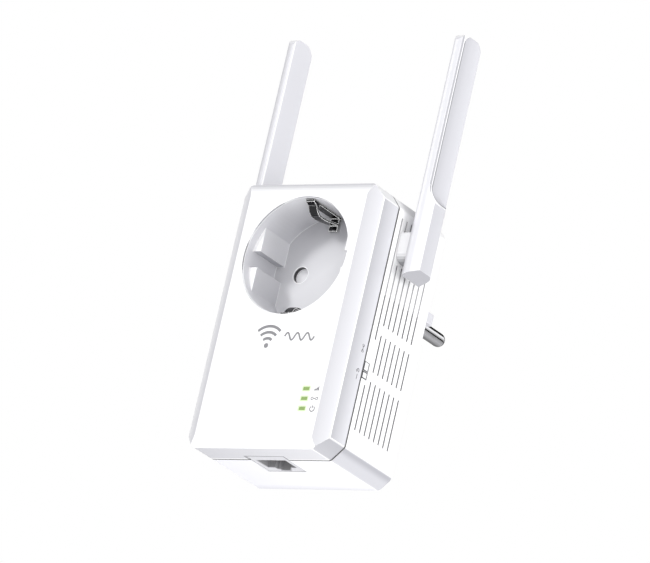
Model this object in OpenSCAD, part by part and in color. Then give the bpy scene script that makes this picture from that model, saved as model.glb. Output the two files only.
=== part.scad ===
// Plug-in wireless repeater with a pass-through socket and two hinged antennas.
// Origin: midway between the two plug pins, on the end face of the plug.
// +Z is up in the installed position, the front faces -Y, right is +X. Millimetres.

/* [Housing] */
// overall width of the housing
body_width = 56.5; // [54:0.5:64]
// height of the housing above the socket centre
body_top = 25.35; // [25:0.05:30]
// extent of the housing below the socket centre
body_bottom = 66.4; // [66:0.1:80]
// depth of the housing from the front plane to the wall face
body_depth = 40.45; // [39.75:0.05:44]
// depth of the joint line behind the front plane
seam_y = 12.1; // [11.9:0.1:12.4]
// moulding wall thickness
wall = 1.9; // [1.6:0.1:2]
// width of the bevel at each side, seen from the front
bevel_width = 4.93; // [3:0.1:6]
// depth of the bevel at each side
bevel_depth = 3.24; // [2:0.1:4]
// roll-back of the front plane at its top and bottom edges
roll_back = 1.55; // [0.5:0.05:2]

/* [Socket and plug] */
// radius of the socket opening in the front cover
opening_radius = 20.55; // [20.4:0.05:20.8]
// radius of the socket recess
cup_radius = 20.0; // [19.8:0.05:20.1]
// depth of the socket recess
cup_depth = 17.5; // [17.5:0.1:18]
// spacing of the plug pins and of the socket holes
pin_pitch = 19.0; // [19:0.1:19.4]
// radius of the plug pins
pin_radius = 2.4; // [2.2:0.05:2.4]
// length of the plug pins beyond the plug face
pin_length = 19.0; // [18:0.5:19]
// length of the plug body beyond the wall face
boss_length = 15.8; // [15.5:0.1:18]
// distance of the plug axis below the socket centre
plug_drop = 1.05; // [0:0.05:1.1]
// radius of the plug body
boss_radius = 18.9; // [18:0.1:19]

/* [Side vents] */
// number of vent columns on each side
vent_count = 8; // [6:1:8]
// distance between vent columns
vent_pitch = 2.76; // [2.5:0.02:2.8]
// width of each vent slot
vent_width = 0.7; // [0.5:0.1:1]

/* [Antennas] */
// length of an antenna above its hinge axis
antenna_up = 75.4; // [60:0.5:75.5]
// width of an antenna
antenna_width = 10.8; // [10:0.2:12]
// thickness of an antenna
antenna_thickness = 5.3; // [5:0.1:6]
// gap between the housing side and the antenna
knuckle_gap = 3.9; // [3.5:0.1:5]

/* [Hidden] */
$fn = 48;
// Parts are drawn with y = 0 on the front plane and z = 0 at the socket centre.
half_width = body_width / 2;
plug_face_y = body_depth + boss_length;
pin_x = pin_pitch / 2;
shell_y = seam_y + 0.3;       // front edge of the rear shell

// Corner cuts of the front outline
lower_cut = [4.43, 4.6];
upper_cut = [3.7, 4.2];
corner_radius = 1.6;

// Boards: main board behind the front cover, power board ahead of the rear wall
board_inset = wall + 0.7;
main_front_y = 7.4;
main_rear_y = 9.0;
main_parts_y = 9.02;          // base of the parts on the back of the main board
power_front_y = 33.0;
power_rear_y = 34.6;
power_parts_y = 32.98;        // base of the parts on the front of the power board

// Screw places, [x, z]
posts = [[22.4, 19.4], [-22.4, 19.4], [22, -60.5], [-22, -60.5]];
main_screw = [22.5, -27.5];   // repeated on the left
power_screws = [[19.5, -29], [-19.5, -29], [9, -58.5], [-9, -58.5]];
lower_post_y = 9.1;           // front end of the lower posts of the rear shell

led_x = 17.0;
led_z = [-46.25, -49.6, -53.05];
wps_z = -33.5;
reset_z = -36.5;
plunger_y = 13.55;

// Ethernet jack
jack_x = -0.5;
jack_front_y = 9.2;
jack_rear_y = 22.8;

// Earth clip strip
clip_inner_z = 19.4;
clip_outer_z = 20.1;

// Antenna hinge axis and the faces of the right arm
hinge_y = 20.7;
hinge_z = 9.0;
arm_inner_x = half_width + knuckle_gap;
arm_outer_x = arm_inner_x + antenna_thickness;
arm_front_y = hinge_y - antenna_width / 2;
arm_rear_y = hinge_y + antenna_width / 2;
arm_bottom = hinge_z - 10;
arm_top = hinge_z + antenna_up;

// Colours used by more than one part
shell_white = [0.94, 0.94, 0.95];
button_white = [0.93, 0.93, 0.94];
panel_grey = [0.72, 0.72, 0.74];
element_green = [0.2, 0.4, 0.25];
brass = [0.8, 0.62, 0.35];
plug_metal = [0.82, 0.82, 0.84];
shaft_grey = [0.85, 0.85, 0.86];
clip_grey = [0.6, 0.6, 0.62];
spring_grey = [0.7, 0.7, 0.72];
screw_grey = [0.5, 0.5, 0.52];
plunger_grey = [0.6, 0.6, 0.6];
switch_black = [0.2, 0.2, 0.22];
chip_black = [0.12, 0.12, 0.13];
coax_black = [0.15, 0.15, 0.15];

// ---- helpers ------------------------------------------------------------
function unit(v) = v / norm(v);

// polygon points with an arc of the given radius at each corner
function round_corners(points, radii, steps = 4) = [
    for (i = [0:len(points) - 1])
    let (
        count = len(points),
        corner = points[i],
        radius = radii[i],
        to_prev = unit(points[(i + count - 1) % count] - corner),
        to_next = unit(points[(i + 1) % count] - corner),
        angle = acos(to_prev * to_next),
        centre = corner + unit(to_prev + to_next) * radius / sin(angle / 2),
        first = corner + to_prev * radius / tan(angle / 2) - centre,
        last = corner + to_next * radius / tan(angle / 2) - centre,
        start = atan2(first[1], first[0]),
        turn = atan2(last[1], last[0]) - start,
        sweep = turn > 180 ? turn - 360 : turn < -180 ? turn + 360 : turn
    )
    for (k = [0:steps])
        centre + radius * [cos(start + sweep * k / steps), sin(start + sweep * k / steps)]
];

// front end of a rear shell post; the upper posts start at the joint
function post_front(p) = p[1] > 0 ? shell_y : lower_post_y;

// moves a part from the drawing frame to the plug frame
module placed() {
    translate([0, -plug_face_y, plug_drop]) children();
}
// extrudes along y; the profile is [x, -z]
module extrude_y(y0, y1) {
    translate([0, y0, 0]) rotate([-90, 0, 0]) linear_extrude(y1 - y0) children();
}
// extrudes along y from 0 to 60; the profile is [x, z]
module extrude_xz() {
    translate([0, 60, 0]) rotate([90, 0, 0]) linear_extrude(60) children();
}
// extrudes along x; the profile is [y, z]
module extrude_x(x0, x1) {
    translate([x0, 0, 0]) rotate([90, 0, 90]) linear_extrude(x1 - x0) children();
}
module extrude_z(z0, z1) {
    translate([0, 0, z0]) linear_extrude(z1 - z0) children();
}
// r is the front radius, r2 the rear one if it differs
module cyl_y(x, z, y0, y1, r, r2 = undef) {
    translate([x, y0, z]) rotate([-90, 0, 0])
        cylinder(h = y1 - y0, r1 = r, r2 = is_undef(r2) ? r : r2);
}
module cyl_x(y, z, x0, x1, r) {
    translate([x0, y, z]) rotate([0, 90, 0]) cylinder(h = x1 - x0, r = r);
}
module hinge_cyl(x0, x1, r) {
    cyl_x(hinge_y, hinge_z, x0, x1, r);
}
module box(x0, x1, y0, y1, z0, z1) {
    translate([x0, y0, z0]) cube([x1 - x0, y1 - y0, z1 - z0]);
}
module both_x() {
    children();
    mirror([1, 0, 0]) children();
}
module both_z() {
    children();
    mirror([0, 0, 1]) children();
}

// front outline of the housing for extrude_y, so its second axis points down
module outline(inset) {
    side = half_width - inset;
    top = body_top - inset;
    bottom = body_bottom - inset;
    trim = inset * (2 - sqrt(2)) * 0.72 * [1, 1];
    lower = lower_cut - trim;
    upper = upper_cut - trim;
    polygon(round_corners([
        [side, upper[1] - top], [side, bottom - lower[1]],
        [side - lower[0], bottom], [lower[0] - side, bottom],
        [-side, bottom - lower[1]], [-side, upper[1] - top],
        [upper[0] - side, -top], [side - upper[0], -top]
    ], [for (i = [0:7]) corner_radius]));
}

// ---- housing ------------------------------------------------------------
// outer form of the front cover: outline, side bevels, rolled top and bottom
module cover_solid() {
    back = seam_y + 2;
    roll_height = 5;
    steps = 6;
    intersection() {
        extrude_y(0, seam_y - 0.25) outline(0);
        extrude_z(-body_bottom - 1, body_top + 1)
            polygon(round_corners([
                [half_width - bevel_width, 0], [half_width, bevel_depth],
                [half_width, back], [-half_width, back],
                [-half_width, bevel_depth], [-half_width + bevel_width, 0]
            ], [1.2, 0.8, 0.1, 0.1, 0.8, 1.2]));
        extrude_x(-half_width - 1, half_width + 1)
            polygon(concat(
                [for (k = [0:steps])
                    [roll_back * pow(1 - k / steps, 2), -body_bottom + roll_height * k / steps]],
                [for (k = [0:steps])
                    [roll_back * pow(k / steps, 2), body_top - roll_height + roll_height * k / steps]],
                [[back, body_top + 0.01], [back, -body_bottom - 0.01]]));
    }
}

module cover_hollow() {
    pocket_x = half_width - bevel_width - 0.4;
    extrude_y(4.4, seam_y + 1) outline(wall);
    // deeper pocket between the bevels
    intersection() {
        extrude_y(2.1, 4.5) outline(wall + 0.9);
        box(-pocket_x, pocket_x, 0, 9, -80, 40);
    }
}

module front_cover() {
    boss_y = 2;
    boss_end = main_front_y - 0.05;
    color([0.95, 0.95, 0.96]) placed() difference() {
        union() {
            difference() {
                cover_solid();
                cover_hollow();
            }
            for (p = posts) cyl_y(p[0], p[1], boss_y, p[1] > 0 ? seam_y - 0.3 : boss_end, 2.8);
            both_x() cyl_y(main_screw[0], main_screw[1], boss_y, boss_end, 2.2);
            // guide ribs of the light guide
            for (z = [-43.2, -55.9]) box(14.2, 19.8, boss_y, 4.6, z - 0.5, z + 0.5);
        }
        cyl_y(0, 0, -1, 5, opening_radius);
        for (z = led_z) box(led_x - 1.22, led_x + 1.22, -1, 3, z - 0.58, z + 0.58);
        // screw holes
        for (p = posts) cyl_y(p[0], p[1], 3.2, p[1] > 0 ? seam_y : 7.5, 1.22);
        both_x() cyl_y(main_screw[0], main_screw[1], 3.2, 7.5, 0.92);
        jack_opening(jack_front_y - 0.3, seam_y + 1);
    }
}

// cut for the jack through the bottom wall
module jack_opening(y0, y1) {
    box(jack_x - 7.6, jack_x + 7.6, y0, y1, -body_bottom - 1, -body_bottom + 5);
}

// cut in the right side wall, from inner_x outwards
module vent_cut(inner_x, y, z0, z1) {
    box(inner_x, half_width + 1, y - vent_width / 2, y + vent_width / 2, z0, z1);
}

// shallow grooves with through slots in them; the front column is shortened
module vents() {
    groove_x = half_width - 0.3;
    slot_x = half_width - wall - 1;
    for (i = [0:vent_count - 1]) {
        y = 15.0 + vent_pitch * i;
        at_hinge = abs(y - hinge_y) < 4.6;
        lower_end = i == 0 ? -39.2 : -37.15;
        vent_cut(groove_x, y, -17.9, at_hinge ? 3.2 : 18.5);
        vent_cut(groove_x, y, -58, lower_end);
        if (at_hinge) {
            vent_cut(groove_x, y, 14.6, 18.5);
            vent_cut(slot_x, y, 14.6, 15.5);
            vent_cut(slot_x, y, 1.8, 3.2);
        }
        vent_cut(slot_x, y, i == 0 ? -23.6 : -17.9, -8);
        if (i > 0) vent_cut(slot_x, y, -34, -21.1);
        vent_cut(slot_x, y, -54.5, lower_end);
    }
}

// outer form of the rear shell, rounded along its rear edges
module shell_solid() {
    ahead = shell_y - 5;
    intersection() {
        extrude_y(shell_y, body_depth) outline(0);
        extrude_z(-body_bottom - 1, body_top + 1)
            polygon(round_corners([
                [half_width, ahead], [half_width, body_depth],
                [-half_width, body_depth], [-half_width, ahead]
            ], [0.1, 1.2, 1.2, 0.1]));
        extrude_x(-half_width - 1, half_width + 1)
            polygon(round_corners([
                [ahead, body_top], [body_depth, body_top],
                [body_depth, -body_bottom], [ahead, -body_bottom]
            ], [0.1, 1.2, 1.2, 0.1]));
    }
}

// rim that reaches inside the front cover
module shell_tongue() {
    difference() {
        union() {
            extrude_y(seam_y - 1.6, shell_y + 0.01) outline(wall + 0.06);
            extrude_y(shell_y, shell_y + 1.2) outline(wall - 0.3);
        }
        extrude_y(seam_y - 2, shell_y + 2) outline(wall + 0.9);
    }
}

module shell_cuts() {
    for (p = posts) {
        // clear the front cover bosses out of the tongue
        if (p[1] > 0) cyl_y(p[0], p[1], seam_y - 2, shell_y - 0.01, 2.9);
        // screw hole and head well
        cyl_y(p[0], p[1], 8, 20, 1.4);
        cyl_y(p[0], p[1], post_front(p) + 3, body_depth + 1, 2.6);
    }
    for (p = power_screws) cyl_y(p[0], p[1], 34, body_depth - 1.2, 0.92);
    cyl_y(0, -plug_drop, 30, body_depth + 1, boss_radius + 0.05);
    both_x() vents();
    both_x() hinge_cyl(half_width - wall - 1, half_width + 1, 3.05);
    jack_opening(seam_y - 3, jack_rear_y + 0.1);
    // two button windows beside the joint line
    for (z = [[-35.02, -32.0], [-37.62, -35.38]])
        box(half_width - 5, half_width + 1, seam_y - 2, 14.72, z[0], z[1]);
}

module rear_shell() {
    color(shell_white) placed() difference() {
        union() {
            difference() {
                shell_solid();
                extrude_y(shell_y - 1, body_depth - 2) outline(wall);
            }
            shell_tongue();
            for (p = posts) {
                cyl_y(p[0], p[1], shell_y, body_depth - 0.5, 3.6);
                if (p[1] < 0) cyl_y(p[0], p[1], lower_post_y, shell_y + 0.5, 2.9);
            }
            for (p = power_screws) cyl_y(p[0], p[1], 34.75, body_depth - 0.5, 2.2);
            // bearing pads of the antenna hinges
            both_x() hinge_cyl(half_width - wall - 0.3, half_width - 0.5, 5.4);
        }
        shell_cuts();
    }
}

// ---- socket -------------------------------------------------------------
module socket_cup() {
    mouth_radius = cup_radius + 0.1;
    color([0.86, 0.86, 0.87]) placed() difference() {
        union() {
            difference() {
                union() {
                    cyl_y(0, 0, 0.5, 2.4, opening_radius - 0.05);
                    cyl_y(0, 0, 2.15, 4.0, 22.2);
                    cyl_y(0, 0, 3.5, cup_depth + 1.8, 21.4);
                }
                cyl_y(0, 0, 0.4, 3.4, cup_radius + 0.25, mouth_radius);
                cyl_y(0, 0, 3.3, cup_depth, mouth_radius, cup_radius);
            }
            // keying flats at each side, with a guide groove
            difference() {
                cyl_y(0, 0, 3.5, cup_depth + 0.5, cup_radius + 0.7);
                box(-16.75, 16.75, 0, 30, -30, 30);
                box(-30, 30, 0, 30, -2.8, 2.8);
            }
        }
        both_x() cyl_y(pin_x, 0, cup_depth - 1, cup_depth + 3, 2.8);
        // pockets of the earth clips
        both_z() {
            box(-2.0, 2.0, 1.1, cup_depth + 3, 19.0, 20.6);
            box(-2.0, 2.0, cup_depth - 0.9, cup_depth + 0.2, 14.8, 20.6);
        }
    }
}

// Profiles of the upper earth clip, [y, z]
clip_outline = [
    [1.6, 19.35], [3.4, 18.6], [4.4, 17.0], [6.0, 15.9], [8.2, 15.7], [11, 15.95],
    [15.5, 16.75], [16.62, 16.9], [16.62, 14.95], [17.32, 14.95],
    [17.32, clip_outer_z], [1.6, clip_outer_z]
];
clip_hollow = [
    [5.0, clip_inner_z], [4.7, 17.6], [6.2, 16.6], [8.2, 16.4], [11, 16.65],
    [15.3, 17.4], [16.62, 17.6], [16.62, clip_inner_z]
];

module earth_strap() {
    half_strap = 1.7;
    color([0.25, 0.25, 0.27]) placed() {
        // spring clip, one at the top of the recess and one at the bottom
        both_z() extrude_x(-half_strap, half_strap) difference() {
            polygon(clip_outline);
            polygon(clip_hollow);
        }
        // strips to the rear, joined by a strip across the back
        both_z() box(-half_strap, half_strap, 17.2, 34.8, clip_inner_z, clip_outer_z);
        box(-half_strap, half_strap, 34.1, 34.8, -clip_outer_z, clip_outer_z);
    }
}

module safety_shutter() {
    front = cup_depth + 2.9;
    rear = cup_depth + 4.5;
    top = 3.6;
    color([0.8, 0.8, 0.81]) placed() {
        extrude_x(-13.8, 13.8)
            polygon([[front, top], [rear, top], [rear, -top], [rear - 0.4, -top], [front, -2.6]]);
        box(-2.6, 2.6, rear - 0.1, cup_depth + 7.2, 0, top);
    }
}

// stacked rings joined by short rods on alternate sides
module shutter_spring() {
    turns = 8;
    pitch = 9.0 / turns;
    radius = 1.5;
    color(spring_grey) placed() translate([0, cup_depth + 5.5, 3.9]) {
        for (i = [0:turns])
            translate([0, 0, pitch * i])
                rotate_extrude($fn = 32) translate([radius, 0]) circle(r = 0.2, $fn = 16);
        for (i = [0:turns - 1])
            translate([i % 2 == 0 ? radius : -radius, 0, pitch * i])
                cylinder(h = pitch, r = 0.12, $fn = 6);
    }
}

module contact_carrier() {
    bore = 3.35;
    color([0.3, 0.3, 0.32]) placed() difference() {
        box(-17, 17, cup_depth + 1.85, 36.2, -7, 15);
        // shutter channel and spring well
        box(-14.1, 14.1, cup_depth + 1, cup_depth + 4.6, -4, 13.3);
        box(-3.2, 3.2, cup_depth + 1, cup_depth + 7.6, -4, 13.3);
        // contact bores, and a slot below each
        both_x() {
            cyl_y(pin_x, 0, cup_depth + 3, 37, bore);
            cyl_y(pin_x, -plug_drop, 35.3, 37, bore);
            box(pin_x - 1.7, pin_x + 1.7, 31.2, 37, -8, 0);
        }
        // earth strap groove across the back
        box(-2.5, 2.5, 34, 37, -8, 16);
    }
}

// split sleeve with a tail down to the power board
module contact() {
    tail_y = 31.4;
    difference() {
        cyl_y(pin_x, 0, cup_depth + 4.9, 35.4, 3.25);
        cyl_y(pin_x, 0, cup_depth + 4, 34.6, 2.5);
        box(pin_x - 4, pin_x + 4, cup_depth + 4, 31, -0.4, 0.4);
    }
    box(pin_x - 1.5, pin_x + 1.5, tail_y, 32.2, -26.6, -3.0);
    box(pin_x - 1.5, pin_x + 1.5, tail_y, power_parts_y, -27.4, -26.6);
}
module line_contact() { color(brass) placed() contact(); }
module neutral_contact() { color(brass) placed() mirror([1, 0, 0]) contact(); }

// ---- plug ---------------------------------------------------------------
module on_plug_axis() {
    translate([0, 0, -plug_drop]) children();
}

module plug_body() {
    past_face = plug_face_y + 1;
    chamfer = 0.8;
    color([0.92, 0.92, 0.93]) placed() on_plug_axis() difference() {
        union() {
            cyl_y(0, 0, 36.3, body_depth - 2.05, 20.5);
            cyl_y(0, 0, body_depth - 2.5, plug_face_y - chamfer, boss_radius);
            cyl_y(0, 0, plug_face_y - chamfer, plug_face_y, boss_radius, boss_radius - chamfer);
        }
        // side flats, which leave a narrow key at each side
        both_x() both_z() box(15.4, 30, body_depth + 3.0, past_face, 1.9, 30);
        both_x() cyl_y(pin_x, 0, 30, past_face, pin_radius + 0.22);
        // grooves and slots of the earth contact
        both_z() {
            box(-2.6, 2.6, body_depth + 0.4, past_face, 16.4, 30);
            box(-2.25, 2.25, 30, body_depth + 1, 16.65, 17.45);
        }
    }
}

module plug_pin() {
    shank_y = 36.2;
    tip_y = plug_face_y + pin_length - pin_radius;
    on_plug_axis() {
        // flange at the front end
        cyl_y(pin_x, 0, 35.45, 36.25, 3.2);
        // thicker shank inside the plug body
        cyl_y(pin_x, 0, shank_y, plug_face_y, pin_radius + 0.2);
        cyl_y(pin_x, 0, shank_y, tip_y, pin_radius);
        translate([pin_x, tip_y, 0]) sphere(r = pin_radius);
    }
}
module plug_pin_line() { color(plug_metal) placed() plug_pin(); }
module plug_pin_neutral() { color(plug_metal) placed() mirror([1, 0, 0]) plug_pin(); }

module plug_earth_contact() {
    half_strip = 2.2;
    outer_z = 17.4;
    color(plug_metal) placed() on_plug_axis() {
        box(-half_strip, half_strip, 35.0, 35.7, -outer_z, outer_z);
        both_z() box(-half_strip, half_strip, 35.2, plug_face_y - 1.2, 16.7, outer_z);
    }
}

// ---- electronics --------------------------------------------------------
module main_board() {
    color([0.1, 0.35, 0.2]) placed() difference() {
        intersection() {
            box(-25.4, 25.4, main_front_y, main_rear_y, -63.6, -24.6);
            extrude_y(7, 10) outline(board_inset);
        }
        for (p = posts) if (p[1] < 0) cyl_y(p[0], p[1], 7, 10, 1.5);
        both_x() cyl_y(main_screw[0], main_screw[1], 7, 10, 1.1);
    }
}

module main_chip() {
    color(chip_black) placed() {
        box(-9, 3, main_parts_y, 10.1, -40, -28.5);
        box(5.5, 12, main_parts_y, 10, -38, -30);
    }
}

// open can with a row of round holes
module rf_shield() {
    color([0.75, 0.75, 0.77]) placed() difference() {
        box(-12, 14.5, main_parts_y, 12.2, -42.6, -26.4);
        box(-11.7, 14.2, 8.9, 11.9, -42.3, -26.7);
        for (i = [-3:3]) cyl_y(1.2 + i * 3.4, -34.5, 11, 13, 0.7);
    }
}

// jack and its contacts are drawn up from the underside of the housing
module ethernet_jack() {
    color([0.6, 0.6, 0.61]) placed() translate([jack_x, 0, -body_bottom]) difference() {
        union() {
            box(-7.5, 7.5, main_parts_y, jack_rear_y, 2.1, 17.5);
            box(-7.5, 7.5, jack_front_y, jack_rear_y, 0.12, 3);
        }
        // plug cavity, latch steps and the contact bay
        box(-5.85, 5.85, 12.6, 19.6, -1, 14);
        box(-3.1, 3.1, 19.5, 21.0, -1, 12);
        box(-2.1, 2.1, 20.9, 22.3, -1, 12);
        box(-4.9, 4.9, 10.8, 12.7, 3.5, 15.5);
    }
}

// Profile of a jack contact, [y, z above the underside]
jack_contact = [
    [11.3, 15.4], [11.3, 4], [11.7, 3.7], [14.0, 8.6], [13.7, 8.9], [11.75, 4.9], [11.75, 15.4]
];
module jack_contacts() {
    pitch = 1.02;
    color([0.9, 0.75, 0.35]) placed() translate([jack_x, -0.2, -body_bottom])
        for (i = [-3.5:1:3.5])
            extrude_x(i * pitch - 0.23, i * pitch + 0.23) polygon(jack_contact);
}

module lan_transformer() {
    color(chip_black) placed() box(-20.5, -9.5, main_parts_y, 14.6, -56, -46);
}

module status_leds() {
    color([0.9, 0.95, 0.8]) placed()
        for (z = led_z) box(led_x - 0.8, led_x + 0.8, 6.6, 7.38, z - 0.6, z + 0.6);
}

// a window and a stem for each LED, joined by a bar
module light_guide() {
    color([0.5, 0.75, 0.3]) placed() {
        for (z = led_z) {
            box(led_x - 1.18, led_x + 1.18, 0.03, 3.0, z - 0.54, z + 0.54);
            box(led_x - 0.9, led_x + 0.9, 2.9, 6.4, z - 0.6, z + 0.6);
        }
        box(led_x - 1.3, led_x + 1.3, 2.98, 4.2, -55.2, -43.9);
    }
}

// switch body with a bore for the plunger, and a foot on its inner side
module side_switch(z) {
    half_height = 1.25;
    difference() {
        box(20.2, 24.4, main_parts_y, 15.6, z - half_height, z + half_height);
        cyl_x(plunger_y, z, 22.5, 25, 0.62);
    }
    box(19.6, 20.3, main_parts_y, 9.8, z - half_height, z + half_height);
}
module wps_switch() { color(switch_black) placed() side_switch(wps_z); }
module reset_switch() { color(switch_black) placed() side_switch(reset_z); }

module plunger(z) { cyl_x(plunger_y, z, 23.2, 25.2, 0.57); }
module wps_plunger() { color(plunger_grey) placed() plunger(wps_z); }
module reset_plunger() { color(plunger_grey) placed() plunger(reset_z); }

// button cap with a wider flange inside the wall
module button(z, height) {
    flange = height / 2 + 0.12;
    box(25.75, half_width + 0.15, 12.52, 14.62, z - height / 2, z + height / 2);
    box(25.22, 25.8, 12.2, 15.2, z - flange, z + flange);
}
module wps_button() { color(button_white) placed() button(wps_z, 2.7); }
module reset_button() { color(button_white) placed() button(reset_z, 1.8); }

module power_board() {
    color([0.65, 0.5, 0.25]) placed() difference() {
        intersection() {
            box(-24, 24, power_front_y, power_rear_y, -63, -24.8);
            extrude_y(32, 36) outline(board_inset);
        }
        for (p = posts) cyl_y(p[0], p[1], 32, 36, 3.9);
        for (p = power_screws) cyl_y(p[0], p[1], 32, 36, 1.1);
    }
}

module mains_transformer() {
    color([0.75, 0.65, 0.2]) placed() {
        box(-22, -9, 24.2, 30.0, -50, -36);
        box(-20, -11, 20.5, power_parts_y, -52.5, -33.5);
    }
}

// two cylinders with a groove across the front end
module filter_capacitors() {
    color([0.15, 0.16, 0.2]) placed() for (z = [-36, -47]) difference() {
        cyl_y(14.5, z, 19.5, power_parts_y, 4.5);
        box(10, 19, 19, 19.9, z - 0.25, z + 0.25);
    }
}

module mains_fuse() {
    color([0.6, 0.2, 0.15]) placed() cyl_y(1.5, -33, 24.5, power_parts_y, 3.6);
}

module bridge_rectifier() {
    color(chip_black) placed() box(-5, 4, 29.5, power_parts_y, -43.8, -37.6);
}

// header on the main board with four pins to the power board
module board_link() {
    color([0.15, 0.15, 0.16]) placed() {
        box(-5, 5, main_parts_y, 12, -47.2, -44.6);
        for (i = [-1.5:1:1.5])
            box(i * 2.2 - 0.32, i * 2.2 + 0.32, 11.9, power_parts_y, -46.2, -45.6);
    }
}

// ---- antennas (drawn for the right side) --------------------------------
// outer form of an arm, shaped in plan, from the front and from the side
module arm_envelope() {
    intersection() {
        extrude_z(-20, 120)
            polygon(round_corners([
                [arm_inner_x, arm_front_y + 0.05], [arm_inner_x + 2.1, arm_front_y + 0.05],
                [arm_outer_x, arm_front_y + 2.4], [arm_outer_x, arm_rear_y],
                [arm_inner_x, arm_rear_y]
            ], [0.8, 3.5, 1.2, 2.4, 0.35], 6));
        extrude_xz()
            polygon(round_corners([
                [arm_inner_x - 1, arm_bottom - 0.5], [arm_outer_x, arm_bottom + 2.6],
                [arm_outer_x, arm_top], [arm_inner_x - 1, arm_top]
            ], [0.1, 0.5, 3.0, 0.1], 5));
        extrude_x(arm_inner_x - 2, arm_outer_x + 2)
            polygon(round_corners([
                [arm_front_y, arm_bottom - 5], [arm_rear_y, arm_bottom - 5],
                [arm_rear_y, arm_top], [arm_front_y, arm_top]
            ], [0.1, 0.1, 4.6, 3.4], 6));
    }
}

// cutter for the sloping outer face of the upper part, its surface lowered by
// sink; the lower end runs out to the side in an arc
module scoop(sink) {
    edge_y = arm_front_y + 1.55;
    face_x = arm_outer_x - 2.25 - sink;
    clear_x = arm_outer_x + 4;
    slope = 0.119;
    arc_z = 31.5;
    arc_radius = 10.5;
    arc_drop = 7.4;
    steps = 10;
    intersection() {
        extrude_z(20, 100)
            polygon([
                [face_x - 4 * slope, edge_y - 4], [face_x + 14 * slope, edge_y + 14],
                [clear_x, edge_y + 14], [clear_x, edge_y - 4]
            ]);
        extrude_xz()
            polygon(concat(
                [[clear_x, 96], [face_x - 0.65, 96], [face_x - 0.65, arc_z]],
                [for (k = [1:steps])
                    let (drop = arc_drop * k / steps)
                    [face_x + arc_radius - sqrt(pow(arc_radius, 2) - pow(drop, 2)), arc_z - drop]],
                [[clear_x, arc_z - arc_drop]]));
    }
}

// side view of the outer panel, shrunk by inset
module panel_seat(inset) {
    front = arm_front_y + 2.0 + inset;
    bottom = 25.75 + inset;
    top = arm_top + 0.05 - inset;
    extrude_x(arm_inner_x, arm_outer_x + 3)
        polygon(round_corners([
            [front, bottom], [arm_rear_y + 2, bottom], [arm_rear_y + 2, top], [front, top]
        ], [4.9 - inset, 0.1, 0.1, 3.4 - inset], 6));
}

module hinge_knuckle() {
    half = 5.05;
    extrude_x(half_width + 0.15, arm_inner_x + 0.2)
        polygon(round_corners([
            [hinge_y - half, hinge_z - half], [hinge_y + half, hinge_z - half],
            [hinge_y + half, hinge_z + half], [hinge_y - half, hinge_z + half]
        ], [3.6, 3.6, 0.4, 0.4], 6));
}

module arm() {
    difference() {
        union() {
            arm_envelope();
            hinge_knuckle();
        }
        hinge_cyl(half_width - 2, arm_inner_x - 0.7, 3.01);
        hinge_cyl(half_width, arm_inner_x + 3.2, 1.3);
        // cable channel, radiator bay and the seat of the outer panel
        translate([arm_inner_x + 2.0, hinge_y, hinge_z]) cylinder(h = 20, r = 1.2);
        box(arm_inner_x + 1.1, arm_outer_x - 1.7, hinge_y - 2.4, hinge_y + 2.4, 28.5, arm_top - 6);
        scoop(0);
        intersection() {
            scoop(0.6);
            panel_seat(0);
        }
    }
}

module panel() {
    intersection() {
        arm_envelope();
        difference() {
            scoop(0.55);
            scoop(0.05);
        }
        panel_seat(0.05);
    }
}

// radiator strip and the cable that feeds it through the hinge
module element() {
    cable_x = arm_inner_x + 2.0;
    cable_radius = 0.8;
    box(cable_x - 0.6, cable_x, hinge_y - 2.0, hinge_y + 2.0, 30, 77.5);
    hinge_cyl(half_width - 3.4, cable_x, cable_radius);
    translate([cable_x, hinge_y, hinge_z]) {
        cylinder(h = 21.3, r = cable_radius);
        sphere(r = cable_radius);
    }
}

// hollow shaft with a groove for the clip
module hinge_shaft() {
    difference() {
        hinge_cyl(half_width - 3.75, arm_inner_x - 0.75, 3.0);
        hinge_cyl(half_width - 5, arm_inner_x, 1.4);
        difference() {
            hinge_cyl(half_width - 3.35, half_width - 2.65, 4);
            hinge_cyl(half_width - 4, half_width - 2, 2.6);
        }
    }
}

// ring, open at the bottom
module hinge_clip() {
    difference() {
        hinge_cyl(half_width - 3.3, half_width - 2.7, 4.6);
        hinge_cyl(half_width - 4, half_width - 2, 2.62);
        box(half_width - 4, half_width - 2, hinge_y - 1.9, hinge_y + 1.9, hinge_z - 6, hinge_z);
    }
}

// a straight run of cable between two points, with a bead at its start
module cable_run(from, to, radius) {
    along = to - from;
    translate(from) {
        rotate([0, 0, 18]) sphere(r = radius * 1.12, $fn = 10);
        rotate([0, acos(along[2] / norm(along)), atan2(along[1], along[0])])
            cylinder(h = norm(along), r = radius, $fn = 10);
    }
}

// Cable path from the main board to the hinge, [x, y, z]
coax_path = [
    [16.5, 11.2, -26.6], [17, 14.5, -25.2], [23.2, 17.5, -18], [23.6, 20.7, -4],
    [21.2, 20.9, 7.2], [21.6, hinge_y, hinge_z], [half_width - 3.5, hinge_y, hinge_z]
];
module coax() {
    start = coax_path[0];
    for (i = [0:len(coax_path) - 2]) cable_run(coax_path[i], coax_path[i + 1], 0.7);
    cyl_y(start[0], start[2], main_parts_y, start[1], 1.2);
}

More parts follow.
